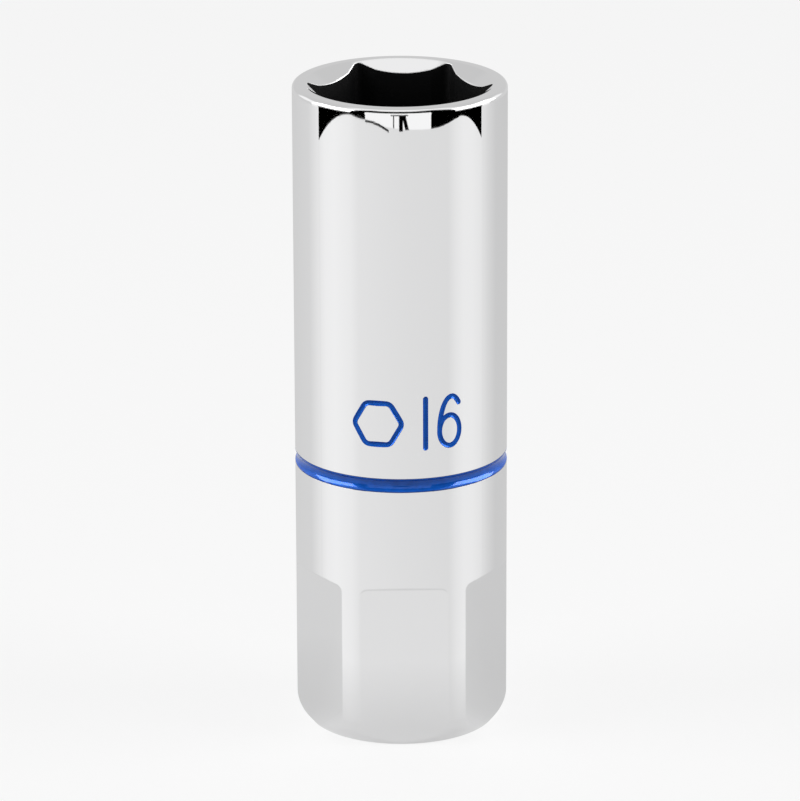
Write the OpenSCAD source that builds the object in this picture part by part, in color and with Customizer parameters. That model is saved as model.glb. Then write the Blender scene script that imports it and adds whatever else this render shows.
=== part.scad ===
// Spark plug socket: a six-point mouth with a coned lead-in, a bore that carries a rubber plug grip,
// a square drive hole, wrench flats at the drive end and a groove with a band of colour.
// Millimetres, +Z up through the mouth, origin in the middle of the drive end's face.

/* [Body] */
// Overall length from the drive end to the mouth
total_length = 68.5; // [66:0.5:90]
// Outside diameter
body_d = 22; // [21:0.1:22.8]
// Rounding of the outer edge round the mouth
rim_round = 0.5; // [0.2:0.05:0.9]

/* [Mouth] */
// Width across the flats of the plug hexagon
plug_hex_af = 16.05; // [15.6:0.05:16.4]
// Depth of the plug hexagon below the mouth
plug_hex_depth = 17; // [10:0.5:19]
// Distance from the middle of each flat at which the reliefs of its two corners start
corner_relief_start = 2.85; // [2.4:0.05:3.2]
// Radius of the round end of each corner relief
corner_relief_r = 0.8; // [0.5:0.05:1.1]
// Reach of each corner relief past the sharp corner of the hexagon
corner_relief_out = 0.16; // [0.1:0.02:0.3]
// Distance of the lead-in's edge outside the corner reliefs
lead_in_margin = 0.25; // [0.05:0.05:0.3]
// Depth of the coned lead-in at the middle of each flat
lead_in_depth = 1.2; // [0.8:0.1:2]
// Turn of the plug hexagon about the axis against the wrench flats, in degrees
mouth_turn = -3.8; // [-30:0.1:30]

/* [Bore] */
// Diameter of the round bore behind the hexagon
bore_d = 17.2; // [16.8:0.1:18]
// Height above the drive end of the shoulder that carries the insert
seat_height = 30; // [22:0.5:32]
// Diameter of the bore below the shoulder, for the plug's terminal
terminal_bore_d = 14.6; // [12:0.1:15.6]
// Angle of the drill point at the bottom of the bore, in degrees
drill_point = 118; // [90:1:140]
// Thickness of the web between the square hole and the bore
web = 3; // [2:0.5:5]
// Diameter of the pilot hole through the web
pilot_d = 9.2; // [7:0.1:9.5]

/* [Rubber insert] */
// Length of the insert along the axis
insert_length = 17; // [12:0.5:21]
// Diameter of the hole that grips the plug's insulator
grip_d = 10.4; // [9.5:0.1:11]
// Diameter of the insert's lead-in at its top
insert_lead_d = 14; // [12:0.1:15]
// Depth of the insert's lead-in
insert_lead_depth = 3; // [1:0.5:5]
// Bevel on the insert's outer edges and at the foot of its hole
insert_bevel = 0.6; // [0.2:0.1:1]
// Section radius of the bead that locks the insert into the bore
bead_r = 1.4; // [1:0.1:2]
// Depth of the bead's groove in the bore
bead_depth = 0.6; // [0.3:0.05:0.8]
// Clearance all round the insert in the bore
insert_clearance = 0.05; // [0.02:0.01:0.1]

/* [Square drive] */
// Width across the flats of the square hole
drive_af = 9.6; // [9.55:0.01:9.7]
// Depth of the square hole
drive_depth = 12; // [10:0.5:14]
// Diameter of the square hole's coned lead-in at the face
drive_lead_d = 12.6; // [10.5:0.1:13]
// Radius of the ball dimple in each side of the square hole
detent_r = 2.6; // [2:0.1:3]
// Depth of each ball dimple
detent_depth = 0.9; // [0.4:0.1:1.4]
// Height of the ball dimples above the drive end
detent_height = 5.8; // [5:0.1:7]

/* [Wrench flats] */
// Width across the wrench flats
wrench_af = 20; // [19.4:0.1:20.6]
// Height of the flats above the drive end
flats_height = 17.15; // [10:0.05:24]
// Slope of the shoulder above each flat from level, in degrees
shoulder_slope = 24; // [10:1:45]
// Rounding of each flat's upper corners
flat_corner_r = 0.85; // [0.3:0.05:2]
// Width of the trim chamfer round the drive end
trim_in = 1.25; // [0.5:0.05:2]
// Height of the trim chamfer
trim_up = 1.5; // [0.5:0.05:3]

/* [Colour band] */
// Height of the middle of the groove above the drive end
band_height = 28.8; // [26:0.1:50]
// Width of the groove at the surface
groove_w = 1.5; // [1:0.05:2.5]
// Depth of the groove
groove_depth = 0.35; // [0.2:0.05:0.6]
// Thickness of the enamel in the groove
enamel = 0.1; // [0.05:0.01:0.15]

/* [Hidden] */
$fn = 96;
sides = 6;
side_angle = 360 / sides;
// How far a cut runs past the face that it opens
overcut = 1;
body_r = body_d / 2;

hex_apothem = plug_hex_af / 2;
corner_reach = hex_apothem / cos(side_angle / 2) + corner_relief_out;
relief_centre = corner_reach - corner_relief_r;
// Where a relief starts on its flat, counted from the middle of its round end
relief_side = hex_apothem * sin(side_angle / 2) - corner_relief_start * cos(side_angle / 2);
relief_along = hex_apothem * cos(side_angle / 2) + corner_relief_start * sin(side_angle / 2) - relief_centre;
// Bearing at which a relief's straight side runs into its round end
relief_meet = atan2(relief_side, relief_along) - acos(corner_relief_r / norm([relief_along, relief_side]));
// Share of the round end's radius at which the straight sides stop inside it
relief_overlap = 0.97;
lead_in_r = corner_reach + lead_in_margin;
lead_in_taper = (lead_in_r - hex_apothem) / lead_in_depth;

bore_r = bore_d / 2;
hex_floor = total_length - plug_hex_depth;
pilot_r = pilot_d / 2;
terminal_r = terminal_bore_d / 2;
bore_floor = drive_depth + web;
point_height = (terminal_r - pilot_r) / tan(drill_point / 2);

insert_r = bore_r - insert_clearance;
insert_top = seat_height + insert_length;
bead_height = seat_height + insert_length / 2;
bead_centre = bore_r + bead_depth - bead_r;

flat_distance = wrench_af / 2;
chord_half = sqrt(body_r * body_r - flat_distance * flat_distance);
// How far a flat's outline runs past the edges where the flat meets the round body
flat_overrun = 0.06;
outline_half = chord_half + flat_overrun;

groove_r = (groove_w * groove_w / 4 + groove_depth * groove_depth) / (2 * groove_depth);
groove_centre = body_r - groove_depth + groove_r;

function polar(r, angle) = [r * cos(angle), r * sin(angle)];
function turned(p, angle) = [p.x * cos(angle) - p.y * sin(angle), p.x * sin(angle) + p.y * cos(angle)];

// The turned outside before anything is cut, as half of its section
module turned_section() {
    polygon([
        [0, 0],
        [body_r - trim_in, 0],
        [body_r, trim_up],
        [body_r, total_length - rim_round],
        [body_r - rim_round, total_length - rim_round],
        [body_r - rim_round, total_length],
        [0, total_length]
    ]);
    translate([body_r - rim_round, total_length - rim_round])
        circle(r = rim_round);
}

// The plug hexagon: six flats joined by pointed corner reliefs with a small round end
module plug_hexagon() {
    start = [relief_centre + relief_along, relief_side];
    end = [relief_centre, 0] + polar(relief_overlap * corner_relief_r, relief_meet);
    corner = [[start.x, -start.y], [end.x, -end.y], end, start];
    polygon([
        for (i = [0 : sides - 1], p = corner)
            turned(p, side_angle * i)
    ]);
    for (i = [0 : sides - 1])
        rotate(side_angle * i)
            translate([relief_centre, 0])
                circle(r = corner_relief_r);
}

// The six-point mouth, with the cone that leads the plug in
module mouth_cut() {
    translate([0, 0, hex_floor])
        linear_extrude(height = plug_hex_depth + overcut)
            rotate(mouth_turn)
                plug_hexagon();
    cone_height = lead_in_r / lead_in_taper;
    translate([0, 0, total_length - cone_height])
        cylinder(h = cone_height + overcut, r1 = 0, r2 = lead_in_r + overcut * lead_in_taper);
}

// The bore behind the hexagon, down to the pilot hole through the web
module bore_cut() {
    translate([0, 0, seat_height])
        cylinder(h = hex_floor - seat_height, r = bore_r);
    rotate_extrude()
        translate([bead_centre, bead_height])
            circle(r = bead_r);
    translate([0, 0, bore_floor + point_height])
        cylinder(h = seat_height + overcut - bore_floor - point_height, r = terminal_r);
    translate([0, 0, bore_floor])
        cylinder(h = point_height, r1 = pilot_r, r2 = terminal_r);
    translate([0, 0, drive_depth - overcut])
        cylinder(h = web + 2 * overcut, r = pilot_r);
}

// The square drive hole, with its coned lead-in and the four dimples for the driver's ball
module drive_cut() {
    translate([-drive_af / 2, -drive_af / 2, -overcut])
        cube([drive_af, drive_af, drive_depth + overcut]);
    translate([0, 0, -overcut])
        cylinder(h = drive_lead_d / 2 + overcut, r1 = drive_lead_d / 2 + overcut, r2 = 0);
    for (angle = [0 : 90 : 270])
        rotate(angle)
            translate([detent_r - detent_depth - drive_af / 2, 0, detent_height])
                sphere(r = detent_r);
}

// One flat's outline seen square on: open below, with rounded upper corners at the flat's own width
module flat_outline() {
    drop = 2 * flats_height;
    translate([flat_corner_r - outline_half, -drop])
        square([2 * (outline_half - flat_corner_r), drop]);
    translate([-outline_half, -drop])
        square([2 * outline_half, drop - flat_corner_r]);
    for (side = [-1, 1])
        translate([side * (outline_half - flat_corner_r), -flat_corner_r])
            circle(r = flat_corner_r);
}

// What is cut away for the flat that faces +X, up to its sloping shoulder
module flat_cut() {
    intersection() {
        translate([flat_distance, -body_r, -overcut])
            cube([body_r, body_d, flats_height + body_r]);
        translate([flat_distance, 0, flats_height])
            rotate([0, -shoulder_slope, 0])
                rotate([90, 0, 90])
                    linear_extrude(height = body_d, center = true)
                        flat_outline();
    }
}

// The round-bottomed section of the groove for the colour
module groove_section(r) {
    translate([groove_centre, band_height])
        circle(r = r);
}

// The steel socket, one piece
module socket_body() {
    color("silver")
        difference() {
            rotate_extrude()
                turned_section();
            mouth_cut();
            bore_cut();
            drive_cut();
            for (i = [0 : sides - 1])
                rotate(side_angle * (i + 0.5))
                    flat_cut();
            rotate_extrude()
                groove_section(groove_r);
        }
}

// The rubber sleeve that grips the plug, seated on the bore's shoulder
module rubber_insert() {
    color([0.08, 0.08, 0.09])
        rotate_extrude() {
            polygon([
                [grip_d / 2 + insert_bevel, seat_height],
                [insert_r - insert_bevel, seat_height],
                [insert_r, seat_height + insert_bevel],
                [insert_r, insert_top - insert_bevel],
                [insert_r - insert_bevel, insert_top],
                [insert_lead_d / 2, insert_top],
                [grip_d / 2, insert_top - insert_lead_depth],
                [grip_d / 2, seat_height + insert_bevel]
            ]);
            translate([bead_centre, bead_height])
                circle(r = bead_r - insert_clearance);
        }
}

// The coat of enamel that lines the groove
module colour_band() {
    color([0.08, 0.25, 0.65])
        rotate_extrude()
            difference() {
                intersection() {
                    groove_section(groove_r);
                    translate([0, band_height - groove_w])
                        square([body_r, 2 * groove_w]);
                }
                groove_section(groove_r - enamel);
            }
}

socket_body();
rubber_insert();
colour_band();
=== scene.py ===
# Finishes, size mark and studio of a spark plug socket, laid out as an add-on and run as a script.
import math

import bmesh
import bpy
from bpy.props import FloatProperty, FloatVectorProperty, PointerProperty
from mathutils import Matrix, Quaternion, Vector


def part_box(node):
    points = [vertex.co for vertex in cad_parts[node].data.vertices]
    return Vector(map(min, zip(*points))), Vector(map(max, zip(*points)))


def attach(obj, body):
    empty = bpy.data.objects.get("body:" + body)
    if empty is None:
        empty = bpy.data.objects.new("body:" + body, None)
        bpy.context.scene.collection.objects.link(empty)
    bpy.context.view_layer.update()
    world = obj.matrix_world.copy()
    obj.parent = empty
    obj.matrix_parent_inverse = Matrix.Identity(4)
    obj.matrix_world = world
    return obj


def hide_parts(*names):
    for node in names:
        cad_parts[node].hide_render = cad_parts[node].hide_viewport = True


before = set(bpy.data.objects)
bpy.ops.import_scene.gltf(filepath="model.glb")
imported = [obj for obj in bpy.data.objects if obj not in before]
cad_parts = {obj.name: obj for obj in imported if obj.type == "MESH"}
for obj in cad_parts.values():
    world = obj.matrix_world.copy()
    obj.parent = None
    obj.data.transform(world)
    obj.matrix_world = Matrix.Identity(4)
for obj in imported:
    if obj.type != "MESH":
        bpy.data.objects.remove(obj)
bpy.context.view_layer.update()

bl_info = {
    "name": "Spark plug socket",
    "version": (1, 0, 0),
    "blender": (4, 5, 0),
    "location": "3D View > Sidebar > Socket",
    "description": "Dresses the packed spark plug socket and lights it in a small studio",
    "category": "Object",
}

MM = 0.001
MOUTH_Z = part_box("socket_body")[1][2]
BAND_LOW, BAND_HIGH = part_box("colour_band")
BAND_Z = (BAND_LOW[2] + BAND_HIGH[2]) / 2
INSERT_LOW, INSERT_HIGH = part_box("rubber_insert")
SEAT_Z = INSERT_LOW[2]
BEAD_Z = (INSERT_LOW[2] + INSERT_HIGH[2]) / 2

# Outside radius of the body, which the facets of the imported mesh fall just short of
BODY_R = 11 * MM
SIDES = 6
TURN_STEPS = 360
# How far a cutter runs past the face that it opens, and a gap too thin to see
OVERCUT = 1 * MM
HAIR = 0.002 * MM


class SocketShape(bpy.types.PropertyGroup):
    """Sizes of the socket that its modelled pieces take over from the part."""

    rim_round: FloatProperty(
        name="Rim rounding", description="Rounding of the outer edge round the mouth", unit="LENGTH",
        default=0.5 * MM)
    plug_flat: FloatProperty(
        name="Plug flat", description="Distance of the plug hexagon's flats from the axis", unit="LENGTH",
        default=8.025 * MM)
    plug_depth: FloatProperty(
        name="Plug depth", description="Depth of the plug hexagon below the mouth", unit="LENGTH",
        default=17 * MM)
    relief_start: FloatProperty(
        name="Relief start", description="Distance of a relief's start from the middle of its flat",
        unit="LENGTH", default=2.85 * MM)
    relief_r: FloatProperty(
        name="Relief radius", description="Radius of the round end of each relief", unit="LENGTH",
        default=0.8 * MM)
    relief_out: FloatProperty(
        name="Relief reach", description="Reach of each relief past the hexagon's sharp corner",
        unit="LENGTH", default=0.16 * MM)
    lead_margin: FloatProperty(
        name="Lead-in margin", description="Distance of the lead-in's edge outside the reliefs",
        unit="LENGTH", default=0.25 * MM)
    lead_depth: FloatProperty(
        name="Lead-in depth", description="Depth of the lead-in at the middle of each flat", unit="LENGTH",
        default=1.2 * MM)
    mouth_turn: FloatProperty(
        name="Mouth turn", description="Turn of the plug hexagon against the wrench flats", subtype="ANGLE",
        default=math.radians(-3.8))
    bore_r: FloatProperty(
        name="Bore", description="Radius of the bore that holds the sleeve", unit="LENGTH", default=8.6 * MM)
    terminal_r: FloatProperty(
        name="Terminal bore", description="Radius of the bore below the sleeve", unit="LENGTH",
        default=7.3 * MM)
    drill_point: FloatProperty(
        name="Drill point", description="Angle of the cone at the foot of the bore", subtype="ANGLE",
        default=math.radians(118))
    bore_floor: FloatProperty(
        name="Bore floor", description="Height of the foot of the bore", unit="LENGTH", default=15 * MM)
    pilot_r: FloatProperty(
        name="Pilot hole", description="Radius of the hole through the web", unit="LENGTH", default=4.6 * MM)
    bead_r: FloatProperty(
        name="Bead", description="Section radius of the groove for the sleeve's bead", unit="LENGTH",
        default=1.4 * MM)
    bead_depth: FloatProperty(
        name="Bead depth", description="Depth of that groove", unit="LENGTH", default=0.6 * MM)
    drive_half: FloatProperty(
        name="Drive square", description="Distance of the square hole's sides from the axis", unit="LENGTH",
        default=4.8 * MM)
    drive_depth: FloatProperty(
        name="Drive depth", description="Depth of the square hole", unit="LENGTH", default=12 * MM)
    drive_lead_r: FloatProperty(
        name="Drive lead-in", description="Radius of the square hole's lead-in at the face", unit="LENGTH",
        default=6.3 * MM)
    dimple_r: FloatProperty(
        name="Dimple radius", description="Radius of the dimples for the driver's ball", unit="LENGTH",
        default=2.6 * MM)
    dimple_depth: FloatProperty(
        name="Dimple depth", description="Depth of those dimples", unit="LENGTH", default=0.9 * MM)
    dimple_z: FloatProperty(
        name="Dimple height", description="Height of those dimples", unit="LENGTH", default=5.8 * MM)
    flat_out: FloatProperty(
        name="Wrench flat", description="Distance of the wrench flats from the axis", unit="LENGTH",
        default=10 * MM)
    flat_top: FloatProperty(
        name="Flat height", description="Height of the wrench flats", unit="LENGTH", default=17.15 * MM)
    shoulder: FloatProperty(
        name="Shoulder", description="Slope of the shoulder above each flat from level", subtype="ANGLE",
        default=math.radians(24))
    flat_corner: FloatProperty(
        name="Flat corner", description="Rounding of each flat's upper corners", unit="LENGTH",
        default=0.85 * MM)
    flat_overrun: FloatProperty(
        name="Flat overrun", description="How far a flat's cut runs past its own edges", unit="LENGTH",
        default=0.06 * MM)
    trim_in: FloatProperty(
        name="Trim width", description="Width of the chamfer round the drive end", unit="LENGTH",
        default=1.25 * MM)
    trim_up: FloatProperty(
        name="Trim height", description="Height of that chamfer", unit="LENGTH", default=1.5 * MM)
    trim_round: FloatProperty(
        name="Trim rounding", description="Rounding that buffing leaves where the chamfer meets the body",
        unit="LENGTH", default=3 * MM)
    groove_w: FloatProperty(
        name="Groove width", description="Width of the band's groove", unit="LENGTH", default=1.5 * MM)
    groove_depth: FloatProperty(
        name="Groove depth", description="Depth of the band's groove", unit="LENGTH", default=0.35 * MM)
    enamel: FloatProperty(
        name="Enamel", description="Thickness of the enamel in the groove", unit="LENGTH", default=0.1 * MM)


class SocketMark(bpy.types.PropertyGroup):
    """The engraved size number and hexagon sign, filled with enamel."""

    low: FloatProperty(
        name="Foot", description="Height of the foot of the numerals", unit="LENGTH", default=32.8 * MM)
    height: FloatProperty(
        name="Height", description="Height of the numerals between the middles of their strokes",
        unit="LENGTH", default=5.25 * MM)
    width: FloatProperty(
        name="Stroke width", description="Width of a stroke at the surface", unit="LENGTH",
        default=0.56 * MM)
    depth: FloatProperty(
        name="Stroke depth", description="Depth of a stroke", unit="LENGTH", default=0.14 * MM)
    coat: FloatProperty(
        name="Fill", description="Thickness of the enamel in a stroke", unit="LENGTH", default=0.03 * MM)
    number_at: FloatProperty(
        name="Number bearing", description="Bearing of the number's middle, right of the front",
        subtype="ANGLE", default=math.radians(19.9))
    sign_across: FloatProperty(
        name="Sign size", description="Width across the hexagon sign's flats, between its strokes' middles",
        unit="LENGTH", default=4.4 * MM)
    sign_at: FloatProperty(
        name="Sign bearing", description="Bearing of the hexagon sign's middle, right of the front",
        subtype="ANGLE", default=math.radians(-14))


class SocketChrome(bpy.types.PropertyGroup):
    """Bright plate outside, and inside unplated steel painted near black as the holes' shade."""

    plate: FloatVectorProperty(
        name="Plate", description="Colour that the chrome plate reflects", subtype="COLOR",
        default=(0.93, 0.93, 0.935), min=0, max=1)
    polish: FloatProperty(
        name="Polish", description="Mean roughness of the plate", subtype="FACTOR",
        default=0.01, min=0, max=1)
    edge_round: FloatProperty(
        name="Edge rounding", description="Radius that buffing leaves on every edge", unit="LENGTH",
        default=0.32 * MM, min=0)
    crisp_round: FloatProperty(
        name="Crisp edge", description="Radius of the edges of the band and the mark, cut after the buffing",
        unit="LENGTH", default=0.04 * MM, min=0)
    crisp_fade: FloatProperty(
        name="Crisp fade", description="Length over which crisp edges give way to buffed ones",
        unit="LENGTH", default=1 * MM, min=0)
    # Near black: unplated steel darkened into painted shade of the deep holes
    bare: FloatVectorProperty(
        name="Bare steel", description="Colour of the oiled steel inside, which the plate doesn't reach",
        subtype="COLOR", default=(0.004, 0.004, 0.0042), min=0, max=1)
    bare_r: FloatProperty(
        name="Bare radius", description="Radius inside which walls stay bare", unit="LENGTH",
        default=9.5 * MM, min=0)
    lead_in: FloatProperty(
        name="Plated lead-in", description="How far the plate reaches into the mouth and the drive hole",
        unit="LENGTH", default=1.6 * MM, min=0)


class SocketRubber(bpy.types.PropertyGroup):
    """The moulded sleeve that grips the plug."""

    colour: FloatVectorProperty(
        name="Rubber", description="Colour of the moulded rubber", subtype="COLOR",
        default=(0.02, 0.02, 0.021), min=0, max=1)
    grain: FloatProperty(
        name="Grain", description="Size of the mould's fine grain", unit="LENGTH", default=0.35 * MM, min=0)
    clearance: FloatProperty(
        name="Clearance", description="Clearance of the sleeve in the bore", unit="LENGTH", default=0.05 * MM)
    bevel: FloatProperty(
        name="Bevel", description="Bevel on the sleeve's edges", unit="LENGTH", default=0.6 * MM)
    mould_round: FloatProperty(
        name="Mould radius", description="Rounding that the mould leaves on the edges", unit="LENGTH",
        default=0.15 * MM)
    grip_r: FloatProperty(
        name="Grip radius", description="Radius of the hole that grips the plug", unit="LENGTH",
        default=5.2 * MM)
    lead_r: FloatProperty(
        name="Lead-in radius", description="Radius of the sleeve's lead-in at its top", unit="LENGTH",
        default=7 * MM)
    lead_depth: FloatProperty(
        name="Lead-in depth", description="Depth of the sleeve's lead-in", unit="LENGTH", default=3 * MM)


class SocketEnamel(bpy.types.PropertyGroup):
    """Gloss enamel in the groove and in the size mark."""

    colour: FloatVectorProperty(
        name="Enamel", description="Colour of the enamel", subtype="COLOR",
        default=(0.012, 0.17, 0.85), min=0, max=1)
    # Dark enamel tone, for the uneven flow and for the painted shade along the band's edges
    rim: FloatVectorProperty(
        name="Thin edge", description="Colour where the enamel thins out at an edge", subtype="COLOR",
        default=(0.006, 0.04, 0.28), min=0, max=1)
    clear: FloatProperty(
        name="Clearness", description="Share of the plate under the enamel that shows through it",
        subtype="FACTOR", default=0.14, min=0, max=1)
    gloss: FloatProperty(
        name="Gloss", description="Strength of the clear gloss on the band", subtype="FACTOR",
        default=0.5, min=0, max=1)
    worn_gloss: FloatProperty(
        name="Worn gloss", description="What handling leaves of that gloss on the mark", subtype="FACTOR",
        default=0.1, min=0, max=1)
    # Width of the painted shade along the band's edges
    edge_shade_width: FloatProperty(
        name="Edge width", description="Width of the thin edge of the band", unit="LENGTH",
        default=0.12 * MM, min=0)


class SocketStage(bpy.types.PropertyGroup):
    """Camera, floor sheet, cards and lamps."""

    distance: FloatProperty(
        name="Distance", description="From the camera to the point it looks at", unit="LENGTH", default=0.566)
    elevation: FloatProperty(
        name="Elevation", description="Height of the camera above level", subtype="ANGLE",
        default=math.radians(18.25))
    turn: FloatProperty(
        name="Turn", description="How far the camera stands left of the front", subtype="ANGLE",
        default=math.radians(1.5))
    roll: FloatProperty(
        name="Roll", description="Tilt of the picture", subtype="ANGLE", default=math.radians(-0.2))
    aim_x: FloatProperty(
        name="Aim offset", description="How far right of the axis the camera looks", unit="LENGTH",
        default=-0.09 * MM)
    aim_z: FloatProperty(
        name="Aim height", description="Height of the point that the camera looks at", unit="LENGTH",
        default=34.38 * MM)
    lens: FloatProperty(
        name="Lens", description="Focal length of the camera", unit="CAMERA", default=245.3)
    pale: FloatVectorProperty(
        name="Background", description="Tone of the floor and background", subtype="COLOR",
        default=(0.948, 0.948, 0.948), min=0, max=1)
    sheet_r: FloatProperty(
        name="Sheet radius", description="Radius of the white sheet that the socket stands on", unit="LENGTH",
        default=262 * MM)
    # Painted shade on the sheet round the socket's foot, which only the chrome shows
    foot_r: FloatProperty(
        name="Foot radius", description="Radius within which the sheet dims towards the socket",
        unit="LENGTH", default=34 * MM)
    foot_in: FloatProperty(
        name="Foot inner radius", description="Radius within which that dimming stays the same",
        unit="LENGTH", default=15 * MM)
    foot_shade_tone: FloatProperty(
        name="Foot tone", description="Tone of the sheet at the socket's foot, as the chrome shows it",
        subtype="FACTOR", default=0.62, min=0, max=1)
    foot_shade_share: FloatProperty(
        name="Foot share", description="Share of the foot tone right at the foot", subtype="FACTOR",
        default=0.7, min=0, max=1)
    floor_share: FloatProperty(
        name="Lit share", description="Share of the floor's tone that takes light and shadow",
        subtype="FACTOR", default=0.12, min=0, max=1)
    floor_r: FloatProperty(
        name="Floor radius", description="Radius of the pale floor round the sheet", unit="LENGTH", default=4)
    fill: FloatProperty(
        name="Fill", description="Level of the even light from the room on what isn't polished",
        subtype="FACTOR", default=0.25, min=0, max=1)
    highlight: FloatProperty(
        name="Highlight", description="Level at which a highlight stops, which keeps its edges smooth",
        default=2.5, min=0)


def add_node(tree, kind, inputs=None, **settings):
    """Add a node, set its options, and fill its inputs with values or with other nodes' outputs."""
    made = tree.nodes.new(kind)
    for key, value in settings.items():
        setattr(made, key, value)
    for key, value in (inputs or {}).items():
        if isinstance(value, bpy.types.NodeSocket):
            tree.links.new(value, made.inputs[key])
        else:
            made.inputs[key].default_value = value
    return made


def add_math(tree, operation, *values):
    """A Math node on numbers or outputs, and its result."""
    return add_node(tree, "ShaderNodeMath", dict(enumerate(values)), operation=operation).outputs[0]


def add_range(tree, value, start, end, low=0.0, high=1.0):
    """A Map Range node that carries start and end over to low and high, and its result."""
    return add_node(tree, "ShaderNodeMapRange", {
        "Value": value, "From Min": start, "From Max": end, "To Min": low, "To Max": high}).outputs[0]


def add_blend(tree, share, first, second):
    """A mix of two colours, each a value or an output, and its colour."""
    return add_node(
        tree, "ShaderNodeMix", {"Factor": share, "A": first, "B": second}, data_type="RGBA").outputs["Result"]


def add_noise(tree, place, scale, detail):
    """A noise texture at a place, and its level."""
    return add_node(
        tree, "ShaderNodeTexNoise", {"Vector": place, "Scale": scale, "Detail": detail}).outputs["Fac"]


def add_bump(tree, level, strength, depth, normal=None):
    """A Bump node on a level, over another normal where one is given, and its normal."""
    inputs = {"Height": level, "Strength": strength, "Distance": depth}
    if normal is not None:
        inputs["Normal"] = normal
    return add_node(tree, "ShaderNodeBump", inputs).outputs[0]


def new_material(name):
    """An empty node material with its tree and its output node."""
    material = bpy.data.materials.new(name)
    material.use_nodes = True
    tree = material.node_tree
    tree.nodes.clear()
    return material, tree, tree.nodes.new("ShaderNodeOutputMaterial")


def add_ramp(tree, position, stops):
    """A colour ramp of greys, from (place, level) pairs, and its colour."""
    made = add_node(tree, "ShaderNodeValToRGB", {"Fac": position})
    ramp = made.color_ramp
    while len(ramp.elements) < len(stops):
        ramp.elements.new(0.5)
    for element, (place, level) in zip(ramp.elements, sorted(stops)):
        element.position = place
        element.color = (level, level, level, 1)
    return made.outputs["Color"]


def rgba(colour):
    """A shader colour with full alpha."""
    return (*colour, 1)


def edge_normal(tree, where, chrome, mark):
    """Normal of the plate with buffed edges, and crisp ones round the band and the mark."""
    top = mark.low + mark.height
    middle, half = (BAND_LOW[2] + top) / 2, (top - BAND_LOW[2]) / 2
    away = add_math(tree, "ABSOLUTE", add_math(tree, "SUBTRACT", where.outputs["Z"], middle))
    fade = chrome.crisp_fade
    radius = add_range(tree, away, half + fade, half + 2 * fade, chrome.crisp_round, chrome.edge_round)
    return add_node(tree, "ShaderNodeBevel", {"Radius": radius}, samples=8).outputs[0]


def shaded_bare_walls(tree, place, where, chrome):
    """1 on the walls inside the holes, which the plate doesn't reach and which take painted shade, and 0
    elsewhere.
    """
    # A face counts as a wall while its normal rises less than this
    wall_rise = 0.3
    facing = add_node(tree, "ShaderNodeSeparateXYZ", {0: place.outputs["True Normal"]})
    inside = add_math(tree, "LESS_THAN", polar_of(tree, where)[1], chrome.bare_r)
    upright = add_math(tree, "LESS_THAN", add_math(tree, "ABSOLUTE", facing.outputs["Z"]), wall_rise)
    deep = add_math(
        tree, "MULTIPLY", add_math(tree, "GREATER_THAN", where.outputs["Z"], chrome.lead_in),
        add_math(tree, "LESS_THAN", where.outputs["Z"], MOUTH_Z - chrome.lead_in))
    return add_math(tree, "MULTIPLY", inside, add_math(tree, "MAXIMUM", upright, deep))


def plate_shader(tree, point, turned, normal, chrome):
    """Bright plate with a trace of haze and faint polishing lines."""
    haze, lines = add_noise(tree, point, 140, 2), add_noise(tree, turned, 1, 3)
    return add_node(tree, "ShaderNodeBsdfPrincipled", {
        "Base Color": rgba(chrome.plate), "Metallic": 1,
        "Roughness": add_range(tree, haze, 0.3, 0.7, chrome.polish * 0.7, chrome.polish * 1.3),
        "Normal": add_bump(tree, lines, 0.001, 0.02 * MM, normal)}).outputs[0]


def shaded_bare_shader(tree, turned, chrome):
    """Dark oiled steel with the marks of the boring tool, painted near black as the shade of the deep holes.
    """
    marks = add_noise(tree, turned, 0.35, 4)
    return add_node(tree, "ShaderNodeBsdfPrincipled", {
        "Base Color": rgba(chrome.bare), "Metallic": 0, "Specular IOR Level": 0.08,
        "Roughness": add_range(tree, marks, 0, 1, 0.4, 0.6),
        "Normal": add_bump(tree, marks, 0.2, 0.05 * MM)}).outputs[0]


def chrome_material(chrome, mark):
    """Bright plate outside, and on the walls inside the holes dark oiled steel painted near black as their
    shade.
    """
    material, tree, output = new_material("bright_chrome_plate")
    place = add_node(tree, "ShaderNodeNewGeometry")
    point = place.outputs["Position"]
    where = add_node(tree, "ShaderNodeSeparateXYZ", {0: point})
    # Marks of turning and polishing run round the axis, so they lie ten times closer along it
    turned = add_node(tree, "ShaderNodeMapping", {"Vector": point, "Scale": (900, 900, 9000)}).outputs[0]
    finish = add_node(tree, "ShaderNodeMixShader", {
        0: shaded_bare_walls(tree, place, where, chrome),
        1: plate_shader(tree, point, turned, edge_normal(tree, where, chrome, mark), chrome),
        2: shaded_bare_shader(tree, turned, chrome)})
    tree.links.new(finish.outputs[0], output.inputs["Surface"])
    return material


def rubber_material(rubber):
    """Matt black rubber with a fine moulded grain."""
    material, tree, output = new_material("matt_black_rubber")
    point = add_node(tree, "ShaderNodeNewGeometry").outputs["Position"]
    grain, bloom = add_noise(tree, point, 1 / rubber.grain, 4), add_noise(tree, point, 260, 2)
    dusty = [1.6 * level for level in rubber.colour]
    shader = add_node(tree, "ShaderNodeBsdfPrincipled", {
        "Base Color": add_blend(tree, bloom, rgba(rubber.colour), rgba(dusty)), "Specular IOR Level": 0.35,
        "Roughness": add_range(tree, grain, 0, 1, 0.55, 0.8),
        "Normal": add_bump(tree, grain, 0.35, 0.05 * MM)})
    tree.links.new(shader.outputs[0], output.inputs["Surface"])
    return material


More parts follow.
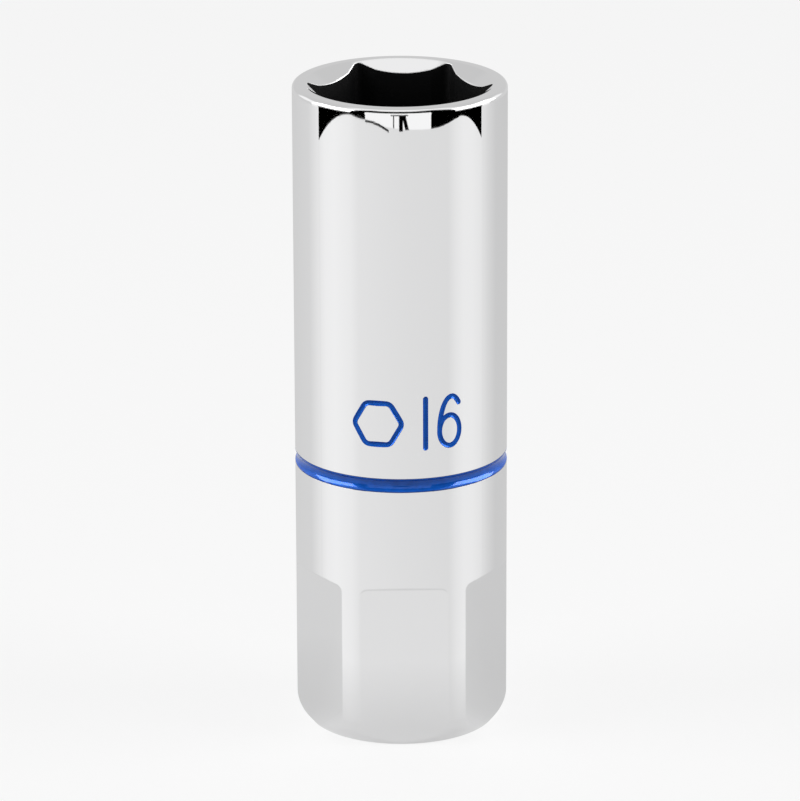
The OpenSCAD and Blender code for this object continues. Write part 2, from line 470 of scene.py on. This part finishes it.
def enamel_material(enamel, name, gloss, shaded_edges):
    """Gloss enamel that has flowed a little unevenly, with painted shade along the band's edges."""
    material, tree, output = new_material(name)
    point = add_node(tree, "ShaderNodeNewGeometry").outputs["Position"]
    flow = add_noise(tree, point, 900, 2)
    share = add_range(tree, flow, 0.35, 0.65, 0, 0.25)
    if shaded_edges:
        # Painted shade along the band's upper and lower edges
        where = add_node(tree, "ShaderNodeSeparateXYZ", {0: point})
        half = (BAND_HIGH[2] - BAND_LOW[2]) / 2
        away = add_math(tree, "ABSOLUTE", add_math(tree, "SUBTRACT", where.outputs["Z"], BAND_Z))
        share = add_math(tree, "MAXIMUM", share, add_range(tree, away, half - enamel.edge_shade_width, half))
    shader = add_node(tree, "ShaderNodeBsdfPrincipled", {
        "Base Color": add_blend(tree, share, rgba(enamel.colour), rgba(enamel.rim)),
        "Roughness": add_range(tree, flow, 0, 1, 0.1, 0.2), "Specular IOR Level": 0.05,
        "Normal": add_bump(tree, flow, 0.08, 0.03 * MM), "Metallic": enamel.clear,
        "Coat Weight": gloss, "Coat Roughness": 0.05})
    tree.links.new(shader.outputs[0], output.inputs["Surface"])
    return material


def polar_of(tree, point):
    """Bearing about the socket's axis, from the front towards the right, and distance from the axis."""
    across, ahead = point.outputs["X"], point.outputs["Y"]
    turn = add_math(tree, "ARCTAN2", across, add_math(tree, "MULTIPLY", ahead, -1.0))
    reach = add_math(tree, "SQRT", add_math(
        tree, "ADD", add_math(tree, "MULTIPLY", across, across), add_math(tree, "MULTIPLY", ahead, ahead)))
    return turn, reach


def bearing(degrees):
    """Place on the bearing ramp of an angle in degrees, counted from the front towards the right."""
    return degrees / 360 + 0.5


def ray_kinds(tree):
    """Whether the camera sees this, and whether a reflection or a clear material does."""
    path = add_node(tree, "ShaderNodeLightPath")
    mirrored = add_math(
        tree, "MAXIMUM", path.outputs["Is Glossy Ray"], path.outputs["Is Transmission Ray"])
    return path.outputs["Is Camera Ray"], mirrored


# Painted light and shade on the sheet as only the chrome shows it, by bearing: bright at the sides, less in
# front and least behind
PAINTED_SHEET_LIGHT = [
    (-180, 0.65), (-117, 0.715), (-102, 0.826), (-99.4, 0.845), (-98.6, 0.815), (-97.8, 0.856), (-90, 0.911),
    (-77, 0.928), (-57, 0.885), (-47, 0.82), (3, 0.782), (51, 0.758), (60, 0.835), (70, 0.885), (82, 0.885),
    (94, 0.845), (97.4, 0.815), (98.2, 0.775), (99, 0.8), (107, 0.73), (123, 0.642), (180, 0.62),
]


def floor_material(stage):
    """Pale sheet with the socket's soft shadow, in one tone for the camera, and for the chrome with painted
    light by bearing and painted shade round the foot.
    """
    material, tree, output = new_material("pale_studio_sheet")
    point = add_node(tree, "ShaderNodeNewGeometry").outputs["Position"]
    turn, reach = polar_of(tree, add_node(tree, "ShaderNodeSeparateXYZ", {0: point}))
    # Bearing of the ray that comes here from the chrome's wall, which starts off the axis
    wall_at = add_math(tree, "MULTIPLY", turn, 0.5)
    slant = add_math(
        tree, "MULTIPLY", add_math(tree, "SINE", wall_at), add_math(tree, "DIVIDE", BODY_R, reach))
    toward = add_math(tree, "ADD", turn, add_math(tree, "ARCSINE", slant))
    # Painted light and shade by bearing, seen only in the chrome
    painted_tones = add_ramp(
        tree, add_math(tree, "MULTIPLY_ADD", toward, 1 / (2 * math.pi), 0.5),
        [(bearing(degrees), level - stage.floor_share) for degrees, level in PAINTED_SHEET_LIGHT])
    # Painted shade round the socket's foot, seen only in the chrome
    near = add_range(tree, reach, stage.foot_r, stage.foot_in, 0, stage.foot_shade_share)
    painted_tones = add_blend(tree, near, painted_tones, rgba([stage.foot_shade_tone - stage.floor_share] * 3))
    seen, mirrored = ray_kinds(tree)
    pale = [level - stage.floor_share for level in stage.pale]
    glow = add_node(tree, "ShaderNodeEmission", {
        "Color": add_blend(tree, mirrored, rgba(pale), painted_tones),
        "Strength": add_math(tree, "MAXIMUM", seen, mirrored)})
    lit = add_node(tree, "ShaderNodeBsdfDiffuse", {"Color": rgba([stage.floor_share] * 3)})
    both = add_node(tree, "ShaderNodeAddShader", {0: glow.outputs[0], 1: lit.outputs[0]})
    tree.links.new(both.outputs[0], output.inputs["Surface"])
    return material


def reflection_card_material(name, level):
    """A card of one plain tone, a painted reflection that lights nothing: black velvet at 0, white board at 1
    and a glowing strip above that, a painted highlight.
    """
    material, tree, output = new_material(name)
    glow = add_node(tree, "ShaderNodeEmission", {"Color": (1, 1, 1, 1), "Strength": level})
    tree.links.new(glow.outputs[0], output.inputs["Surface"])
    return material


def new_object(name, mesh_maker):
    """An object whose mesh is built by mesh_maker in a fresh bmesh."""
    work = bmesh.new()
    mesh_maker(work)
    mesh = bpy.data.meshes.new(name)
    work.to_mesh(mesh)
    work.free()
    made = bpy.data.objects.new(name, mesh)
    bpy.context.scene.collection.objects.link(made)
    return made


def full_turn(steps):
    """Angles of equal steps round a circle."""
    return [2 * math.pi * i / steps for i in range(steps)]


def turn_point(x, y, angle):
    """A point turned about the axis."""
    return x * math.cos(angle) - y * math.sin(angle), x * math.sin(angle) + y * math.cos(angle)


def direction(turn, rise):
    """Unit vector at a bearing from the front towards the right and a rise above level."""
    return Vector((math.sin(turn) * math.cos(rise), -math.cos(turn) * math.cos(rise), math.sin(rise)))


def arc(across, up, radius, start, end, steps):
    """Points of an arc about (across, up), between two angles in radians."""
    return [
        (across + radius * math.cos(a), up + radius * math.sin(a))
        for a in (start + (end - start) * i / steps for i in range(steps + 1))]


def join_rows(work, rows, closed):
    """Faces between neighbouring rows of vertices, each row being a closed ring."""
    pairs = list(zip(rows, rows[1:]))
    if closed:
        pairs.append((rows[-1], rows[0]))
    for near, far in pairs:
        for i in range(len(near)):
            j = (i + 1) % len(near)
            work.faces.new((near[i], far[i], far[j], near[j]))


def add_block(work, ends):
    """A solid between two rings of vertices."""
    join_rows(work, ends, closed=False)
    for ring in ends:
        work.faces.new(ring)


def lathe(outline):
    """Maker of a solid turned from a closed outline of (radius, height) points."""
    def build(work):
        rows = [
            [work.verts.new((r * math.cos(a), r * math.sin(a), z)) for r, z in outline]
            for a in full_turn(TURN_STEPS)]
        join_rows(work, rows, closed=True)
        bmesh.ops.recalc_face_normals(work, faces=work.faces)
    return build


def prism(outline, low, high):
    """Maker of an upright prism on an outline of (x, y) points."""
    def build(work):
        add_block(work, [[work.verts.new((x, y, z)) for x, y in outline] for z in (low, high)])
        bmesh.ops.recalc_face_normals(work, faces=work.faces)
    return build


def combine(body, tool, operation):
    """Change body by a Boolean with tool, which is used up."""
    step = body.modifiers.new("shape", "BOOLEAN")
    step.operation = operation
    step.solver = "EXACT"
    step.object = tool
    shaped = bpy.data.meshes.new_from_object(
        body.evaluated_get(bpy.context.evaluated_depsgraph_get()))
    if not shaped.polygons:
        raise RuntimeError(f"{operation} with {tool.name} left nothing of {body.name}")
    body.modifiers.clear()
    spent = (body.data, tool.data)
    body.data = shaped
    bpy.data.objects.remove(tool)
    for mesh in spent:
        bpy.data.meshes.remove(mesh)


def shade(piece, crease):
    """Smooth the shading, apart from edges sharper than crease in degrees."""
    mesh = piece.data
    mesh.polygons.foreach_set("use_smooth", [True] * len(mesh.polygons))
    mesh.set_sharp_from_angle(angle=math.radians(crease))
    steady = piece.modifiers.new("large_faces_lead", "WEIGHTED_NORMAL")
    steady.weight = 100
    steady.keep_sharp = True


def finish_piece(piece, node, material):
    """Give a modelled piece its finish, and put it in the place of a CAD node where it has one."""
    piece.data.materials.clear()
    piece.data.materials.append(material)
    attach(piece, "root")
    if node:
        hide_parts(node)


def groove_arc(shape, coat, steps=24):
    """The groove's round bottom under a coat, from its lower to its upper edge."""
    radius = (shape.groove_w ** 2 / 4 + shape.groove_depth ** 2) / (2 * shape.groove_depth)
    centre = BODY_R - shape.groove_depth + radius
    half = math.acos((centre - BODY_R) / (radius - coat))
    return arc(centre, BAND_Z, radius - coat, math.pi + half, math.pi - half, steps)


def bead_arc(shape, clearance):
    """Section of the bead's groove in the bore, or with some clearance that of the sleeve's own bead."""
    middle, radius = shape.bore_r + shape.bead_depth - shape.bead_r, shape.bead_r - clearance
    half = math.acos((shape.bore_r - clearance - middle) / radius)
    return arc(middle, BEAD_Z, radius, -half, half, 12)


def body_outline(shape):
    """Section of the turned body, with the pilot hole bored right through."""
    rim, soft = shape.rim_round, shape.trim_round
    lean = math.atan2(shape.trim_in, shape.trim_up)
    return [
        (shape.pilot_r, 0), (BODY_R - shape.trim_in, 0),
        *arc(BODY_R - soft, shape.trim_up + soft * math.tan(lean / 2), soft, -lean, 0, 12),
        *groove_arc(shape, 0),
        *arc(BODY_R - rim, MOUTH_Z - rim, rim, 0, math.pi / 2, 16),
        (shape.pilot_r, MOUTH_Z)]


def bore_outline(shape):
    """Section of what is bored out between the web and the plug hexagon."""
    core = shape.pilot_r / 2
    point = (shape.terminal_r - shape.pilot_r) / math.tan(shape.drill_point / 2)
    return [
        (core, shape.bore_floor), (shape.pilot_r, shape.bore_floor),
        (shape.terminal_r, shape.bore_floor + point), (shape.terminal_r, SEAT_Z), (shape.bore_r, SEAT_Z),
        *bead_arc(shape, 0),
        (shape.bore_r, MOUTH_Z - shape.plug_depth), (core, MOUTH_Z - shape.plug_depth)]


def cone_outline(rim_r, face_z, depth, taper, overcut):
    """Section of a coned lead-in that opens at a face, with overcut below 0 where the face looks down."""
    core = rim_r / 4
    deep_r = rim_r - taper * depth
    deep_z = face_z - math.copysign(depth, overcut)
    return [
        (core, face_z + overcut), (rim_r + taper * abs(overcut), face_z + overcut),
        (deep_r, deep_z), (core, deep_z)]


def plug_reach(shape):
    """Distance of the outermost point of the corner reliefs from the axis."""
    return shape.plug_flat / math.cos(math.pi / SIDES) + shape.relief_out


def plug_outline(shape):
    """The plug hexagon: six flats joined by pointed corner reliefs with a small round end."""
    lean = math.pi / SIDES
    middle = plug_reach(shape) - shape.relief_r
    side = shape.plug_flat * math.sin(lean) - shape.relief_start * math.cos(lean)
    along = shape.plug_flat * math.cos(lean) + shape.relief_start * math.sin(lean)
    meet = math.atan2(side, along - middle) - math.acos(shape.relief_r / math.hypot(along - middle, side))
    corner = [(along, -side), *arc(middle, 0, shape.relief_r, -meet, meet, 16), (along, side)]
    points = []
    for i in range(SIDES):
        turn = shape.mouth_turn + 2 * lean * i
        points += [turn_point(x, y, turn) for x, y in corner]
    return points


def wrench_flats(shape):
    """Maker of the six blocks that are milled away for the wrench flats, up to their sloping shoulders."""
    half = math.sqrt(BODY_R ** 2 - shape.flat_out ** 2) + shape.flat_overrun
    corner = shape.flat_corner
    stretch = 1 / math.cos(shape.shoulder)
    upper = arc(half - corner, -corner, corner, 0, math.pi / 2, 14)
    upper += [(-u, v) for u, v in reversed(upper)]
    reach = 2 * (BODY_R - shape.flat_out)

    def build(work):
        for i in range(SIDES):
            turn = 2 * math.pi * (i + 0.5) / SIDES
            ends = []
            for out in (0, reach):
                rise = shape.flat_top + out * math.tan(shape.shoulder)
                side = [(half, -OVERCUT)] + [(u, rise + v * stretch) for u, v in upper] + [(-half, -OVERCUT)]
                ends.append([
                    work.verts.new((*turn_point(shape.flat_out + out, u, turn), z)) for u, z in side])
            add_block(work, ends)
        bmesh.ops.recalc_face_normals(work, faces=work.faces)
    return build


def ball_pair(shape, turn):
    """Maker of the two balls that press opposite dimples into the square hole."""
    reach = shape.drive_half + shape.dimple_depth - shape.dimple_r

    def build(work):
        for side in (-1, 1):
            made = bmesh.ops.create_uvsphere(work, u_segments=64, v_segments=40, radius=shape.dimple_r)
            place = Vector((side * reach * math.cos(turn), side * reach * math.sin(turn), shape.dimple_z))
            bmesh.ops.translate(work, verts=made["verts"], vec=place)
    return build


def straight_path(start, end, steps=12):
    """Points along a straight stroke."""
    return [Vector(start).lerp(Vector(end), i / steps) for i in range(steps + 1)]


def hexagon_path(middle, reach, rounding, steps=8):
    """A hexagon with a flat at its foot, and its corners rounded off."""
    corners = [middle + reach * Vector((math.cos(a), math.sin(a))) for a in full_turn(SIDES)]
    path = []
    for i, corner in enumerate(corners):
        before = (corners[i - 1] - corner).normalized() * rounding
        after = (corners[(i + 1) % SIDES] - corner).normalized() * rounding
        path += [
            corner + before * (1 - share) ** 2 + after * share ** 2
            for share in (k / steps for k in range(steps + 1))]
    return path


def mark_strokes(mark):
    """Paths of the engraved strokes as (arc length, height) points, each with whether it closes on itself."""
    # The numerals' places and sizes are shares of their height
    foot, tall = mark.low, mark.height
    middle = mark.number_at * BODY_R
    one_at, six_at = middle - 0.3 * tall, middle + 0.2 * tall
    one = straight_path((one_at, foot), (one_at, foot + tall))
    bowl_w, bowl_h = 0.215 * tall, 0.31 * tall
    bowl = [
        Vector((six_at + bowl_w * math.cos(a), foot + bowl_h + bowl_h * math.sin(a)))
        for a in full_turn(72)]
    # The six's stem is part of an ellipse, from its hooked end to just inside the bowl's stroke, in degrees
    sweep, hook, tuck = bowl_w + 0.04 * tall, 128, 6
    stem = [
        Vector((six_at - bowl_w + sweep * (1 - math.cos(a)), foot + bowl_h + (tall - bowl_h) * math.sin(a)))
        for a in (math.radians(hook + (tuck - hook) * i / 40) for i in range(41))]
    sign_at = Vector((mark.sign_at * BODY_R, foot + tall / 2))
    sign = hexagon_path(sign_at, mark.sign_across / 2 / math.cos(math.pi / SIDES), 0.09 * tall)
    return [(one, False), (bowl, True), (stem, False), (sign, True)]


def stroke_tube(path, closed, radius, lift, sides=20, cap_steps=6):
    """Maker of a round-ended tube along a path on the body, with its middle lifted above the surface."""
    def row(work, point, along, advance, size):
        across = Vector((-along.y, along.x))
        made = []
        for a in full_turn(sides):
            flat = point + along * advance + across * (size * math.sin(a))
            out = BODY_R + lift - size * math.cos(a)
            turn = flat.x / BODY_R
            made.append(work.verts.new((out * math.sin(turn), -out * math.cos(turn), flat.y)))
        return made

    def build(work):
        count = len(path)
        rows = []
        for i, point in enumerate(path):
            last, following = (i - 1) % count, (i + 1) % count
            if not closed:
                last, following = max(i - 1, 0), min(i + 1, count - 1)
            along = (path[following] - path[last]).normalized()
            bends = [0]
            if not closed and i == 0:
                bends = [-math.pi / 2 * k / cap_steps for k in range(cap_steps, -1, -1)]
            elif not closed and i == count - 1:
                bends = [math.pi / 2 * k / cap_steps for k in range(cap_steps + 1)]
            for bend in bends:
                rows.append(row(work, point, along, radius * math.sin(bend), radius * math.cos(bend)))
        join_rows(work, rows, closed)
        bmesh.ops.remove_doubles(work, verts=work.verts, dist=1e-8)
        bmesh.ops.recalc_face_normals(work, faces=work.faces)
    return build


def stroke_tools(mark, coat):
    """The tubes of all strokes, smaller by the coat of enamel."""
    radius = (mark.width ** 2 / 4 + mark.depth ** 2) / (2 * mark.depth)
    lift = radius - mark.depth
    return [
        new_object("stroke_tool", stroke_tube(path, closed, radius - coat, lift))
        for path, closed in mark_strokes(mark)]


def ring_mesh(inner, outer, segments=160):
    """Maker of a flat ring on the floor, or a disc where inner is 0."""
    def build(work):
        rims = []
        for radius in (inner, outer):
            if radius == 0:
                rims.append([work.verts.new((0, 0, 0))] * segments)
                continue
            rims.append([
                work.verts.new((radius * math.cos(a), radius * math.sin(a), 0)) for a in full_turn(segments)])
        for i in range(segments):
            j = (i + 1) % segments
            corners = [rims[0][i], rims[1][i], rims[1][j], rims[0][j]]
            work.faces.new(list(dict.fromkeys(corners)))
    return build


def panel_mesh(start, end, reach_start, reach_end, low, high, lean, segments=24):
    """Maker of an upright card that bends about the axis, between two bearings in degrees at its foot."""
    def build(work):
        rows = []
        for i in range(segments + 1):
            share = i / segments
            foot = math.radians(start + (end - start) * share)
            reach = reach_start + (reach_end - reach_start) * share ** 2
            rows.append([
                work.verts.new((math.sin(a) * reach, -math.cos(a) * reach, z))
                for a, z in ((foot, low), (foot + math.radians(lean), high))])
        for a, b in zip(rows, rows[1:]):
            work.faces.new((a[0], b[0], b[1], a[1]))
    return build


def only_in_reflections(card):
    """Keep a card out of the picture, the light and the shadows, so that only polished surfaces show it."""
    card.visible_camera = False
    card.visible_diffuse = False
    card.visible_shadow = False
    card.visible_transmission = False


class SOCKET_OT_chrome_body(bpy.types.Operator):
    """Turn, bore, mill and engrave the socket's body, and plate it"""

    bl_idname = "socket.chrome_body"
    bl_label = "Chrome body"

    def execute(self, context):
        shape, mark = context.scene.socket_shape, context.scene.socket_mark
        body = new_object("chrome_body", lathe(body_outline(shape)))
        lead_r = plug_reach(shape) + shape.lead_margin
        lead_taper = (lead_r - shape.plug_flat) / shape.lead_depth
        half = shape.drive_half
        square = [(half, half), (-half, half), (-half, -half), (half, -half)]
        for maker in (
            lathe(bore_outline(shape)),
            prism(plug_outline(shape), MOUTH_Z - shape.plug_depth, MOUTH_Z + OVERCUT),
            lathe(cone_outline(lead_r, MOUTH_Z, 2 * shape.lead_depth, lead_taper, OVERCUT)),
            prism(square, -OVERCUT, shape.drive_depth),
            lathe(cone_outline(shape.drive_lead_r, 0, shape.drive_lead_r / 2, 1, -OVERCUT)),
            ball_pair(shape, 0),
            ball_pair(shape, math.pi / 2),
            wrench_flats(shape),
        ):
            combine(body, new_object("cutter", maker), "DIFFERENCE")
        for tool in stroke_tools(mark, 0):
            combine(body, tool, "DIFFERENCE")
        shade(body, crease=15)
        finish_piece(body, "socket_body", chrome_material(context.scene.socket_chrome, mark))
        return {"FINISHED"}


class SOCKET_OT_rubber_sleeve(bpy.types.Operator):
    """Mould the sleeve that grips the plug"""

    bl_idname = "socket.rubber_sleeve"
    bl_label = "Rubber sleeve"

    def execute(self, context):
        shape, rubber = context.scene.socket_shape, context.scene.socket_rubber
        bevel = rubber.bevel
        low, high = INSERT_LOW[2], INSERT_HIGH[2]
        outer = shape.bore_r - rubber.clearance
        sleeve = new_object("rubber_sleeve", lathe([
            (rubber.grip_r + bevel, low), (outer - bevel, low), (outer, low + bevel),
            *bead_arc(shape, rubber.clearance),
            (outer, high - bevel), (outer - bevel, high), (rubber.lead_r, high),
            (rubber.grip_r, high - rubber.lead_depth), (rubber.grip_r, low + bevel)]))
        soften = sleeve.modifiers.new("mould_radius", "BEVEL")
        soften.width = rubber.mould_round
        soften.segments = 3
        soften.angle_limit = math.radians(25)
        shade(sleeve, crease=30)
        finish_piece(sleeve, "rubber_insert", rubber_material(rubber))
        return {"FINISHED"}


class SOCKET_OT_enamel(bpy.types.Operator):
    """Lay the enamel in the groove and in the engraved size mark"""

    bl_idname = "socket.enamel"
    bl_label = "Enamel band and size mark"

    def execute(self, context):
        shape, mark = context.scene.socket_shape, context.scene.socket_mark
        enamel = context.scene.socket_enamel
        band = new_object("enamel_band", lathe(
            groove_arc(shape, shape.enamel) + list(reversed(groove_arc(shape, HAIR)))))
        shade(band, crease=40)
        gloss = enamel_material(enamel, "band_enamel", enamel.gloss, shaded_edges=True)
        finish_piece(band, "colour_band", gloss)

        strokes = stroke_tools(mark, HAIR)
        fill = strokes[0]
        fill.name = "size_mark"
        for stroke in strokes[1:]:
            combine(fill, stroke, "UNION")
        low, high, deep = mark.low - OVERCUT, mark.low + mark.height + OVERCUT, BODY_R - OVERCUT
        skin = lathe([(deep, low), (BODY_R, low), (BODY_R, high), (deep, high)])
        combine(fill, new_object("skin", skin), "INTERSECT")
        for tool in stroke_tools(mark, mark.coat):
            combine(fill, tool, "DIFFERENCE")
        shade(fill, crease=40)
        worn = enamel_material(enamel, "mark_enamel", enamel.worn_gloss, shaded_edges=False)
        finish_piece(fill, None, worn)
        return {"FINISHED"}


class SOCKET_OT_stage(bpy.types.Operator):
    """Set up the camera, the sheet, the cards and the soft lamps"""

    bl_idname = "socket.stage"
    bl_label = "Studio"

    # Cards round the sheet, painted reflections that only the chrome shows: name, start and end bearing,
    # reach at each, foot, top, lean of the top and tone
    CARDS = (
        ("flag_left", -54, -96.5, 258.6 * MM, 239.5 * MM, 0, 30 * MM, 0, 0.0),
        ("flag_left_gap", -38, -54, 257 * MM, 258.6 * MM, 0, 600 * MM, 0, 0.0),
        ("board_front", 31, -38, 252 * MM, 256 * MM, 0, 160 * MM, 0, 0.98),
        ("flag_front", 31, -38, 252 * MM, 256 * MM, 160 * MM, 560 * MM, 0, 0.02),
        ("board_foot", -38, -13, 255.5 * MM, 250.6 * MM, 0, 0.4 * MM, 0, 0.0),
        ("flag_right_gap", 31, 57.5, 252 * MM, 255.2 * MM, 0, 600 * MM, 0, 0.0),
        ("flag_right_step", 57.5, 64, 255.2 * MM, 256.4 * MM, 0, 30 * MM, 0, 0.0),
        ("flag_right", 64, 94, 256.4 * MM, 240.5 * MM, 0, 30 * MM, 0, 0.0),
        ("stand_left", -8.6, -7.4, 251 * MM, 251 * MM, 0.6 * MM, 35 * MM, 0, 0.05),
        ("stand_middle", -2.4, 1.6, 251 * MM, 251 * MM, 0.1 * MM, 35 * MM, 0, 0.0),
        ("stand_right_foot", 4, 7.8, 251 * MM, 251 * MM, 0.3 * MM, 2.2 * MM, -3, 0.0),
        ("stand_right", 1, 4.8, 251 * MM, 251 * MM, 2.2 * MM, 35 * MM, 0, 0.0),
        ("stand_bar", -11, 7, 250.8 * MM, 250.8 * MM, 2.8 * MM, 45 * MM, 0, 0.05),
        ("painted_highlight_left", -106, -50, 700 * MM, 700 * MM, 100 * MM, 570 * MM, 0, 8.0),
        ("painted_highlight_right", 60, 119, 700 * MM, 700 * MM, 100 * MM, 570 * MM, 0, 8.0),
        ("backdrop", 107, 253, 258 * MM, 258 * MM, 0, 85 * MM, 0, 0.66),
    )

    def execute(self, context):
        stage = context.scene.socket_stage
        sheet = floor_material(stage)
        for name, inner, outer in (
            ("sheet", 0, stage.sheet_r),
            ("sheet_surround", stage.sheet_r, stage.floor_r),
        ):
            part = new_object(name, ring_mesh(inner, outer))
            part.data.materials.append(sheet)
            part.visible_glossy = inner == 0
        for name, start, end, reach_start, reach_end, low, high, lean, level in self.CARDS:
            card = new_object(name, panel_mesh(start, end, reach_start, reach_end, low, high, lean))
            card.data.materials.append(reflection_card_material(name + "_tone", level))
            only_in_reflections(card)
        self.world(context, stage)
        self.lamps(context)
        self.camera(context, stage)
        context.scene.view_settings.view_transform = "Standard"
        context.scene.cycles.sample_clamp_direct = stage.highlight
        return {"FINISHED"}

    def world(self, context, stage):
        """Pale background, even light, and a room for the reflections, light in front and grey behind."""
        world = bpy.data.worlds.new("soft_room")
        world.use_nodes = True
        tree = world.node_tree
        tree.nodes.clear()
        output = tree.nodes.new("ShaderNodeOutputWorld")
        toward = add_node(tree, "ShaderNodeTexCoord").outputs["Generated"]
        axes = add_node(tree, "ShaderNodeSeparateXYZ", {0: toward})
        rise = axes.outputs["Z"]
        away = add_math(tree, "MULTIPLY", add_math(tree, "ABSOLUTE", polar_of(tree, axes)[0]), 1 / math.pi)
        light, ceiling = 0.97, 0.9
        # Lower and upper walls: where their light front ends and their grey back starts, and that grey
        low, high = (
            add_ramp(tree, away, [(0, light), (end / 180, light), (start / 180, grey), (1, grey)])
            for end, start, grey in ((133, 140, 0.62), (84, 93, 0.6)))
        walls = add_blend(tree, add_range(tree, rise, 0.42, 0.52), low, high)
        room = add_blend(tree, add_range(tree, rise, 0.86, 0.92), walls, rgba([ceiling] * 3))
        seen, mirrored = ray_kinds(tree)
        plain = add_blend(tree, seen, rgba([stage.fill] * 3), rgba(stage.pale))
        back = add_node(tree, "ShaderNodeBackground", {
            "Color": add_blend(tree, mirrored, plain, room), "Strength": 1})
        tree.links.new(back.outputs[0], output.inputs["Surface"])
        context.scene.world = world

    def lamps(self, context):
        """Two soft boxes at the sides and one overhead, which the chrome itself doesn't show."""
        aim = Vector((0, 0, MOUTH_Z / 2))
        # Name, bearing and rise in degrees, reach and size in metres, and radiance
        for name, degrees, rise, reach, size, glow in (
            ("soft_box_left", -80, 40, 0.7, 0.35, 5.8),
            ("soft_box_right", 80, 40, 0.7, 0.35, 5.8),
            ("soft_box_top", 0, 80, 0.8, 0.5, 1.2),
        ):
            data = bpy.data.lights.new(name, "AREA")
            data.shape = "SQUARE"
            data.size = size
            data.energy = glow * math.pi * size * size
            lamp = bpy.data.objects.new(name, data)
            lamp.location = aim + reach * direction(math.radians(degrees), math.radians(rise))
            lamp.rotation_mode = "QUATERNION"
            lamp.rotation_quaternion = (aim - lamp.location).to_track_quat("-Z", "Y")
            lamp.visible_camera = False
            lamp.visible_glossy = False
            context.scene.collection.objects.link(lamp)

    def camera(self, context, stage):
        """The camera at the photograph's angle."""
        data = bpy.data.cameras.new("camera")
        data.sensor_width = 36
        data.lens = stage.lens
        data.clip_start = 0.01
        data.clip_end = 20
        camera = bpy.data.objects.new("camera", data)
        back = direction(-stage.turn, stage.elevation)
        camera.location = Vector((stage.aim_x, 0, stage.aim_z)) + back * stage.distance
        camera.rotation_mode = "QUATERNION"
        camera.rotation_quaternion = (-back).to_track_quat("-Z", "Y") @ Quaternion((0, 0, 1), stage.roll)
        context.scene.collection.objects.link(camera)
        context.scene.camera = camera


OPERATORS = (
    SOCKET_OT_chrome_body,
    SOCKET_OT_rubber_sleeve,
    SOCKET_OT_enamel,
    SOCKET_OT_stage,
)


class SOCKET_PT_builder(bpy.types.Panel):
    """The steps that dress the socket, in order"""

    bl_idname = "SOCKET_PT_builder"
    bl_label = "Spark plug socket"
    bl_space_type = "VIEW_3D"
    bl_region_type = "UI"
    bl_category = "Socket"

    def draw(self, context):
        for step in OPERATORS:
            self.layout.operator(step.bl_idname, text=step.bl_label)


SETTINGS = {
    "socket_shape": SocketShape,
    "socket_mark": SocketMark,
    "socket_chrome": SocketChrome,
    "socket_rubber": SocketRubber,
    "socket_enamel": SocketEnamel,
    "socket_stage": SocketStage,
}


def register():
    for group in SETTINGS.values():
        bpy.utils.register_class(group)
    for name, group in SETTINGS.items():
        setattr(bpy.types.Scene, name, PointerProperty(type=group))
    for step in (*OPERATORS, SOCKET_PT_builder):
        bpy.utils.register_class(step)


def unregister():
    for step in reversed((*OPERATORS, SOCKET_PT_builder)):
        bpy.utils.unregister_class(step)
    for name, group in SETTINGS.items():
        delattr(bpy.types.Scene, name)
        bpy.utils.unregister_class(group)


def main():
    register()
    bpy.ops.socket.chrome_body()
    bpy.ops.socket.rubber_sleeve()
    bpy.ops.socket.enamel()
    bpy.ops.socket.stage()


if __name__ == "__main__":
    main()
